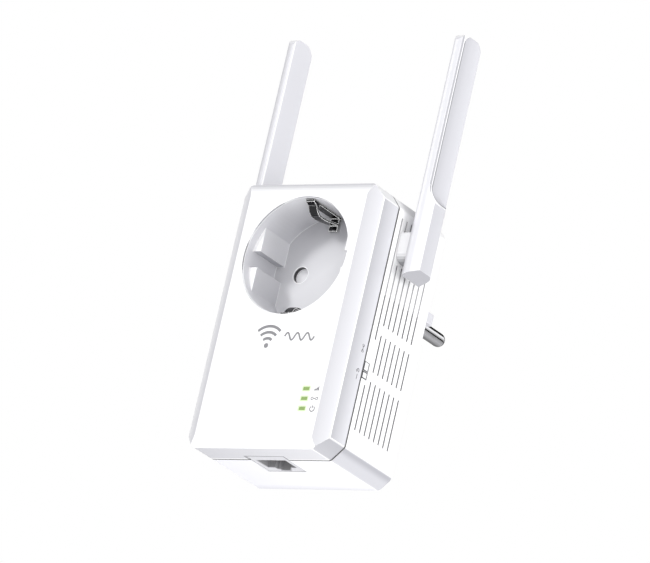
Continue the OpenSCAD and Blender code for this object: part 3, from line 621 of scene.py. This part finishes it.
finish(plastic("cover_white_plastic", WHITE, rough=0.34, grain=7000, depth=0.004, vary=0.012,
               edge_shading=0.8, coat=0.15, lip=LIP, layers=cover_layers), "front_cover")
finish(plastic("shell_white_plastic", (0.92, 0.92, 0.925), rough=0.46, grain=6000, depth=0.008,
               vary=0.014, edge_shading=0.6, lip=LIP, layers=shell_layers), "rear_shell")
finish(plastic("antenna_white_plastic", WHITE, rough=0.38, grain=7000, depth=0.006, vary=0.012,
               edge_shading=0.8, lip=LIP, layers=arm_layers), "antenna_arm_left", "antenna_arm_right")
finish(plastic("antenna_grey_panel", srgb(218, 217, 223), rough=0.4, grain=5000, depth=0.010,
               vary=None, edge_shading=0.0, layers=panel_layers),
       "antenna_panel_left", "antenna_panel_right")
finish(plastic("recess_plastic", tone(232, 235), rough=0.44, grain=6500, depth=0.008,
               vary=0.015, edge_shading=1.0, lip=LIP, layers=recess_layers), "socket_cup")
# painted light: the shutter plate glows a little, to brighten it at the back of the deep pin
# holes
finish(plastic("shutter_plastic", tone(246, 249), rough=0.4, grain=6500, depth=0.008,
               vary=0.015, edge_shading=0.3, glow=((0.95, 0.95, 1.0), 0.3)), "safety_shutter")
finish(plastic("plug_plastic", tone(206, 211), rough=0.5, grain=5200, depth=0.010, vary=0.02,
               edge_shading=0.3), "plug_body", "hinge_shaft_left", "hinge_shaft_right")
finish(plastic("dark_carrier_plastic", (0.045, 0.045, 0.05), rough=0.5, grain=5200,
               depth=0.012, vary=0.2, edge_shading=0.5),
       "contact_carrier", "wps_switch", "reset_switch", "board_link")
finish(plastic("black_epoxy", (0.018, 0.018, 0.02), rough=0.42, grain=8000, depth=0.010,
               vary=0.2, edge_shading=0.6), "main_chip", "lan_transformer", "bridge_rectifier")
# painted shade: the jack's grey stands for the shade inside the port
finish(plastic("jack_grey_plastic", tone(160, 163), rough=0.45, grain=6000, depth=0.010,
               vary=0.06, edge_shading=0.2, layers=jack_layers), "ethernet_jack")
# the dark lip paints a shade line along the buttons' edges
finish(plastic("button_white_plastic", (0.9, 0.9, 0.91), rough=0.4, grain=6000, depth=0.006,
               vary=0.012, edge_shading=1.0, lip=tone(96, 99), layers=button_layers),
       "wps_button", "reset_button")
finish(plastic("plunger_grey_plastic", tone(165, 168), rough=0.5, grain=6000, depth=0.008,
               vary=0.05, edge_shading=0.4), "wps_plunger", "reset_plunger")
finish(metal("nickel_plated_pin", (0.72, 0.72, 0.74), rough=0.16, brush=(1, 0.06, 1),
             scale=2600, depth=0.003, tarnish=0.3, tint=pin_painted_reflection),
       "plug_pin_line", "plug_pin_neutral", "plug_earth_contact")
# painted reflection: the clip is near black, standing in for bright plating that mirrors dark
# surroundings; its lip paints bright glints on the edges
finish(metal("nickel_spring_clip", (0.05, 0.05, 0.052), rough=0.12, brush=(1, 0.1, 0.1),
             scale=2200, depth=0.003, tarnish=0.6, dark=(0.01, 0.01, 0.011),
             lip=(0.95, 0.95, 0.95)), "earth_strap")
finish(metal("spring_steel", (0.55, 0.55, 0.56), rough=0.28, brush=(1, 1, 0.2), scale=2400,
             depth=0.004, tarnish=0.3),
       "shutter_spring", "hinge_clip_left", "hinge_clip_right", "friction_washers")
finish(metal("zinc_screw_steel", (0.42, 0.42, 0.44), rough=0.32, brush=(1, 0.2, 1), scale=3000,
             depth=0.006, tarnish=0.45), "housing_screws", "board_screws")
finish(metal("contact_brass", (0.78, 0.55, 0.26), rough=0.26, brush=(1, 0.1, 1), scale=2000,
             depth=0.004, tarnish=0.35, dark=(0.32, 0.18, 0.07)),
       "line_contact", "neutral_contact")
finish(metal("gold_flash", (0.95, 0.70, 0.30), rough=0.2, brush=(1, 1, 0.1), scale=2600,
             depth=0.003, tarnish=0.2), "jack_contacts")
finish(metal("tinned_shield", (0.66, 0.66, 0.65), rough=0.34, brush=(0.2, 1, 1), scale=1600,
             depth=0.006, tarnish=0.4), "rf_shield")
finish(board("main_board_mask", base=(0.02, 0.12, 0.05), trace=(0.05, 0.24, 0.10)),
       "main_board", "antenna_element_left", "antenna_element_right")
finish(board("power_board_laminate", base=(0.36, 0.24, 0.10), trace=(0.48, 0.34, 0.16)),
       "power_board")
finish(wrapped("transformer_tape", base=(0.62, 0.46, 0.08), over=(0.5, 0.36, 0.05), bands=90.0,
               axis="Z"), "mains_transformer")
finish(wrapped("capacitor_sleeve", base=(0.03, 0.035, 0.06), over=(0.05, 0.055, 0.09),
               bands=20.0, axis="Y"), "filter_capacitors")
finish(wrapped("fuse_sleeve", base=(0.22, 0.07, 0.03), over=(0.3, 0.1, 0.05), bands=60.0,
               axis="Y"), "mains_fuse")
finish(wrapped("cable_jacket", base=(0.02, 0.02, 0.02), over=(0.035, 0.035, 0.035),
               bands=300.0, axis="Z"), "coax_left", "coax_right")
finish(lamp("light_guide_green", base=(0.155, 0.245, 0.06), glow=(0.31, 0.47, 0.12),
            strength=0.34), "light_guide")
finish(lamp("lamp_lens", base=(0.75, 0.85, 0.55), glow=(0.6, 1.0, 0.3), strength=1.5),
       "status_leds")

INK = plastic("print_grey_ink", tone(138, 141), rough=0.6, grain=9000, depth=0.003, vary=0.05,
              edge_shading=0.1)
INK_FINE = plastic("print_fine_ink", tone(92, 95), rough=0.6, grain=9000, depth=0.003,
                   vary=0.05, edge_shading=0.0)

for name, piece in NODES.items():
    piece.data.materials.clear()
    piece.data.materials.append(finishes[name])


# ---------------------------------------------------------------- rounded edges
class Geometry(Nodes):
    """A chain of geometry nodes in one group."""

    def __init__(self, name):
        super().__init__(bpy.data.node_groups.new(name, "GeometryNodeTree"))
        for way in ("INPUT", "OUTPUT"):
            self.tree.interface.new_socket("Geometry", in_out=way,
                                           socket_type="NodeSocketGeometry")
        self.flow = self.add("NodeGroupInput").outputs[0]
        self.end = self.add("NodeGroupOutput")

    def step(self, kind, inputs, **settings):
        node = self.add(kind, inputs, **settings)
        self.put(self.flow, node.inputs[0])
        self.flow = node.outputs[0]

    def sharp(self, degrees):
        """Edges that turn by more than the angle."""
        angle = self.add("GeometryNodeInputMeshEdgeAngle").outputs[0]
        return self.calc("GREATER_THAN", angle, math.radians(degrees))

    def within(self, value, low, high):
        return self.times(self.calc("GREATER_THAN", value, low),
                          self.calc("LESS_THAN", value, high))

    def done(self):
        self.put(self.flow, self.end.inputs[0])
        return self.tree


def ready_group(name, skip):
    """Welds split corners and marks the edges to round, leaving alone those in the box skip.

    skip holds (low, high) for |x|, y and z.
    """
    geo = Geometry(name)
    geo.step("GeometryNodeMergeByDistance", {"Distance": 0.002 * MM})
    geo.step("GeometryNodeRemoveAttribute", {"Name": "custom_normal"})
    weight = geo.sharp(24.0)
    if skip:
        x, y, z = geo.xyz(geo.add("GeometryNodeInputPosition").outputs[0])
        inside = geo.within(geo.calc("ABSOLUTE", x, 0.0), *skip[0])
        for value, span in ((y, skip[1]), (z, skip[2])):
            inside = geo.times(inside, geo.within(value, *span))
        weight = geo.times(weight, geo.calc("SUBTRACT", 1.0, inside))
    geo.step("GeometryNodeStoreNamedAttribute", {"Name": "bevel_weight_edge", "Value": weight},
             data_type="FLOAT", domain="EDGE")
    geo.step("GeometryNodeSetShadeSmooth", {"Shade Smooth": True}, domain="FACE")
    return geo.done()


def crease_group(name, degrees):
    """Keeps every edge sharper than the angle crisp."""
    geo = Geometry(name)
    geo.step("GeometryNodeSetShadeSmooth",
             {"Selection": geo.sharp(degrees), "Shade Smooth": False}, domain="EDGE")
    return geo.done()


CRISP = crease_group("crisp_edges", 42.0)
CRISP_FINE = crease_group("crisp_edges_fine", 20.0)


def soften(piece, width, skip=None, crease=CRISP):
    """Rounds the edges by width in mm and keeps the flats flat, with modifiers only."""
    ready = piece.modifiers.new("ready", "NODES")
    ready.node_group = ready_group("ready_" + piece.name, skip)
    bevel = piece.modifiers.new("edge_round", "BEVEL")
    bevel.width = width * MM
    bevel.segments = 2
    bevel.limit_method = "WEIGHT"
    bevel.use_clamp_overlap = True
    bevel.loop_slide = False
    bevel.miter_outer = "MITER_SHARP"
    crisp = piece.modifiers.new("crisp", "NODES")
    crisp.node_group = crease
    flats = piece.modifiers.new("flats", "WEIGHTED_NORMAL")
    flats.mode = "FACE_AREA"
    flats.keep_sharp = True
    flats.weight = 60


# width of the rounding, mm
EDGE_WIDTH = {
    "front_cover": 0.25, "rear_shell": 0.12, "socket_cup": 0.18, "safety_shutter": 0.1,
    "earth_strap": 0.1, "plug_body": 0.25, "plug_pin_line": 0.1, "plug_pin_neutral": 0.1,
    "plug_earth_contact": 0.08, "ethernet_jack": 0.12, "light_guide": 0.08,
    "wps_button": 0.15, "reset_button": 0.15, "antenna_arm_left": 0.12,
    "antenna_arm_right": 0.12, "antenna_panel_left": 0.05, "antenna_panel_right": 0.05,
}
# the slotted part of the rear shell's sides stays unrounded: |x|, y and z
VENTS = [(beyond(-3.2), beyond(1)), (behind(14.2), behind(36.0)), (above(-60), above(20))]
for name, width in EDGE_WIDTH.items():
    soften(NODES[name], width, skip=VENTS if name == "rear_shell" else None,
           crease=CRISP_FINE if name == "socket_cup" else CRISP)


# ---------------------------------------------------------------- printed marks
# Outlines are lists of (x, z) in metres round a centre; sizes are passed in mm.
INK_THICKNESS = 0.02 * MM
INK_SINK = 0.005 * MM                 # how far the print reaches into the surface


def circle(centre_x, centre_z, radius, angles):
    return [(centre_x + radius * math.cos(a), centre_z + radius * math.sin(a)) for a in angles]


def arc(centre_x, centre_z, radius, width, start, end):
    """A stroke along an arc, angles in degrees."""
    angles = [math.radians(start + (end - start) * i / 24) for i in range(25)]
    middle, half = radius * MM, width * MM / 2
    return (circle(centre_x, centre_z, middle + half, angles)
            + circle(centre_x, centre_z, middle - half, angles[::-1]))


def disc(centre_x, centre_z, radius):
    angles = [2 * math.pi * i / 28 for i in range(28)]
    return circle(centre_x, centre_z, radius * MM, angles)


def rect(centre_x, centre_z, left, right, low, high):
    left, right = centre_x + left * MM, centre_x + right * MM
    low, high = centre_z + low * MM, centre_z + high * MM
    return [(left, low), (right, low), (right, high), (left, high)]


def sine(centre_z, left, right, height, width, turns):
    """A sine line with a constant stroke."""
    left, right, height, width = (v * MM for v in (left, right, height, width))
    pace = 2 * math.pi * turns / (right - left)
    upper, lower = [], []
    for i in range(73):
        x = left + (right - left) * i / 72
        z = height * math.sin(pace * (x - left))
        slope = height * pace * math.cos(pace * (x - left))
        square = 1 / math.sqrt(1 + slope * slope)
        upper.append((x - slope * square * width / 2, centre_z + z + square * width / 2))
        lower.append((x + slope * square * width / 2, centre_z + z - square * width / 2))
    return upper + lower[::-1]


def plate(mesh, outline, y):
    """A thin raised print on the plane y, facing -Y."""
    top = [mesh.verts.new((x, y - INK_THICKNESS, z)) for x, z in outline]
    base = [mesh.verts.new((x, y + INK_SINK, z)) for x, z in outline]
    mesh.faces.new(top)
    mesh.faces.new(base[::-1])
    for i in range(len(outline)):
        after = (i + 1) % len(outline)
        mesh.faces.new((top[i], base[i], base[after], top[after]))


def print_mark(name, outlines, material, y=FRONT, turn=None):
    build = bmesh.new()
    for outline in outlines:
        plate(build, outline, y)
    if turn is not None:
        bmesh.ops.transform(build, matrix=turn, verts=build.verts)
    bmesh.ops.recalc_face_normals(build, faces=build.faces)
    mesh = bpy.data.meshes.new(name)
    build.to_mesh(mesh)
    build.free()
    mark = bpy.data.objects.new(name, mesh)
    scene.collection.objects.link(mark)
    mesh.materials.append(material)
    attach(mark, "housing")


# icons beside the lamps: rising signal bars, two linked rings, a power symbol
ICON_X = LED_X + 4.05 * MM
power_z, pairing_z, signal_z = LED_Z
print_mark("icon_signal", [
    rect(ICON_X, signal_z, -0.95 + 0.52 * i, -0.95 + 0.52 * i + 0.36, -0.66, -0.3 + 0.34 * i)
    for i in range(4)], INK_FINE)
print_mark("icon_pairing", [
    arc(ICON_X - 0.85 * MM, pairing_z, radius=0.46, width=0.24, start=40, end=320),
    arc(ICON_X + 0.85 * MM, pairing_z, radius=0.46, width=0.24, start=-140, end=140),
    rect(ICON_X, pairing_z, -0.6, 0.6, -0.12, 0.12)], INK_FINE)
print_mark("icon_power", [
    arc(ICON_X, power_z - 0.1 * MM, radius=0.9, width=0.28, start=122, end=418),
    rect(ICON_X, power_z, -0.14, 0.14, 0.05, 1.05)], INK_FINE)

# radio waves over a dot, and a wave line beside them, below the socket
MARK_X, MARK_Z = -3.0 * MM, above(-31.5)
print_mark("mark_radio_waves", [disc(MARK_X, MARK_Z, radius=0.85)] + [
    arc(MARK_X, MARK_Z, radius=radius, width=0.95, start=48, end=132)
    for radius in (2.5, 4.6, 6.7)], INK)
print_mark("mark_wave_line", [
    sine(MARK_Z + 3.2 * MM, left=3.6, right=15.4, height=1.25, width=0.6, turns=3)], INK)

# linked rings and a turning arrow by the side buttons, drawn flat and turned onto the +X side
ONTO_SIDE = Matrix.Translation((HALF_WIDTH, 0, 0)) @ Matrix.Rotation(math.radians(90), 4, "Z")
SIDE_Y = behind(9.7)
ARROW_Z = above(-36.2)
print_mark("mark_pairing_side", [
    arc(SIDE_Y, above(-27.6), radius=0.42, width=0.26, start=-230, end=50),
    arc(SIDE_Y, above(-29.6), radius=0.42, width=0.26, start=-50, end=230),
    rect(SIDE_Y, SOCKET_Z, -0.13, 0.13, -29.3, -27.9)], INK_FINE, y=0.0, turn=ONTO_SIDE)
print_mark("mark_restart_side", [
    arc(SIDE_Y, ARROW_Z, radius=0.55, width=0.26, start=-60, end=200),
    [(SIDE_Y - 0.95 * MM, ARROW_Z), (SIDE_Y - 0.1 * MM, ARROW_Z),
     (SIDE_Y - 0.52 * MM, above(-36.95))],
    rect(SIDE_Y, SOCKET_Z, -0.13, 0.13, -39.2, -37.4)], INK_FINE, y=0.0, turn=ONTO_SIDE)


# ---------------------------------------------------------------- studio
AMBIENT = 0.54                        # strength of the even light
# grey of the far side by angle round the Y axis, in degrees from +X towards +Z
FAR_LIGHTS = [
    (-180, 0.05), (-140, 0.09), (-90, 0.24), (-45, 0.50), (-20, 0.34), (-12, 0.0), (10, 0.0),
    (17, 1.4), (60, 1.4), (68, 0.0), (150, 0.0), (180, 0.05),
]


def build_world():
    """Even light for shading, strips and black cards for reflections, white for the camera."""
    world = bpy.data.worlds.new("studio")
    scene.world = world
    world.use_nodes = True
    sky = Nodes(world.node_tree)
    out = sky.add("ShaderNodeOutputWorld")
    path = sky.add("ShaderNodeLightPath")
    co = sky.add("ShaderNodeTexCoord").outputs["Generated"]

    def glow(towards, start, end, low, high):
        """Strength by how closely a ray points one way, as a cosine from start to end."""
        match = sky.dot(co, Vector(towards).normalized())
        return sky.fade(match, start, end, low=low, high=high, smooth=True)

    def background(colour, strength):
        inputs = {"Color": colour, "Strength": strength}
        return sky.add("ShaderNodeBackground", inputs).outputs[0]

    # a little brighter from the front and from above
    soft = sky.calc("ADD",
                    glow((-0.1, -1, 0.1), -1, 1, low=AMBIENT - 0.06, high=AMBIENT + 0.03),
                    glow((0.0, 0.0, 1), -1, 1, low=0.0, high=0.05))
    even = background((0.985, 0.985, 1.0), soft)
    # polished surfaces see the far side's lights, and a mostly dark front
    x, y, z = sky.xyz(co)
    around = sky.fade(sky.calc("ARCTAN2", z, x), -math.pi, math.pi)
    far = sky.ramp(around, [((degrees + 180) / 360, grey) for degrees, grey in FAR_LIGHTS])
    front = sky.calc("ADD", glow((-0.55, -0.75, 0.35), 0.88, 0.95, low=0.02, high=1.0),
                     glow((0.2, -0.5, -0.85), 0.85, 0.95, low=0.0, high=0.9))
    pick = sky.fade(y, 0.1, 0.3)
    mirrored = sky.add("ShaderNodeMix", {0: pick, 2: front, 3: far}, data_type="FLOAT")
    polished = background((1.0, 1.0, 1.0), mirrored.outputs[0])
    seen = background((1.0, 1.0, 1.0), 1.0)
    lit = sky.add("ShaderNodeMixShader", (path.outputs["Is Glossy Ray"], even, polished))
    final = sky.add("ShaderNodeMixShader", (path.outputs["Is Camera Ray"], lit.outputs[0], seen))
    sky.put(final.outputs[0], out.inputs["Surface"])


build_world()


def add_light(name, kind, towards, energy):
    """A light that shines along -towards; towards points from the object to the light."""
    data = bpy.data.lights.new(name, kind)
    data.energy = energy
    data.specular_factor = 0.1
    light = bpy.data.objects.new(name, data)
    light.rotation_mode = "QUATERNION"
    light.rotation_quaternion = towards.to_track_quat("Z", "Y")
    scene.collection.objects.link(light)
    return light


def sun(name, towards, strength, spread):
    """A soft far light; spread in degrees."""
    light = add_light(name, "SUN", Vector(towards), energy=strength * math.pi)
    light.data.angle = math.radians(spread)


def softbox(name, towards, strength, size):
    """A round soft box, size across in metres, aimed at the object."""
    distance = 2.0
    towards = Vector(towards).normalized()
    light = add_light(name, "AREA", towards,
                      energy=strength * math.pi * math.pi * distance * distance)
    light.data.shape = "DISK"
    light.data.size = size
    light.location = Vector((0, behind(20), above(-20))) + towards * distance


sun("key_soft", towards=(-0.42, -1.0, 0.42), strength=0.34, spread=12)
softbox("crown_soft", towards=(0.7, -0.15, 0.8), strength=0.24, size=1.2)
sun("fill_soft", towards=(0.62, -0.75, 0.12), strength=0.13, spread=24)
softbox("lens_soft", towards=(0.76, -0.62, -0.2), strength=0.17, size=0.9)
softbox("side_soft", towards=(1.0, 0.05, -0.12), strength=0.40, size=1.5)
softbox("low_soft", towards=(0.1, -0.1, -1.0), strength=0.46, size=1.5)


def build_floor():
    """Pale floor, far enough below that the low camera looks over it."""
    half, drop = 20, 3                # metres
    pale = Shader("floor_pale")
    cloud = pale.noise(scale=3.0, detail=4.0)
    pale.set("Base Color", pale.grade(cloud, 0.3, 0.7, (0.97, 0.97, 0.975), (0.99, 0.99, 0.99)))
    pale.set("Roughness", pale.fade(pale.noise(scale=20.0), 0.3, 0.7, low=0.75, high=0.85))
    mesh = bpy.data.meshes.new("floor")
    corners = ((-1, -1), (1, -1), (1, 1), (-1, 1))
    mesh.from_pydata([(x * half, y * half, -drop) for x, y in corners], [], [(0, 1, 2, 3)])
    floor = bpy.data.objects.new("floor", mesh)
    scene.collection.objects.link(floor)
    mesh.materials.append(pale.material)


build_floor()


def build_camera():
    """Long lens from the front right, below the object and looking up."""
    camera = bpy.data.objects.new("camera", bpy.data.cameras.new("camera"))
    scene.collection.objects.link(camera)
    camera.data.sensor_fit = "HORIZONTAL"
    camera.data.sensor_width = 36.0
    camera.data.lens = 360.0
    camera.data.clip_start = 0.05
    camera.data.clip_end = 100.0
    forward = Vector((-0.58573, 0.75176, 0.30295)).normalized()
    right = Vector((0.81049, 0.54534, 0.21378))
    right = (right - forward * right.dot(forward)).normalized()
    up = right.cross(forward)
    place = Matrix.Translation((1.24058, -1.57345 + FRONT, -0.64344 + SOCKET_Z))
    camera.matrix_world = place @ Matrix((right, up, -forward)).transposed().to_4x4()
    scene.camera = camera


build_camera()
scene.view_settings.view_transform = "Standard"
scene.view_settings.look = "None"
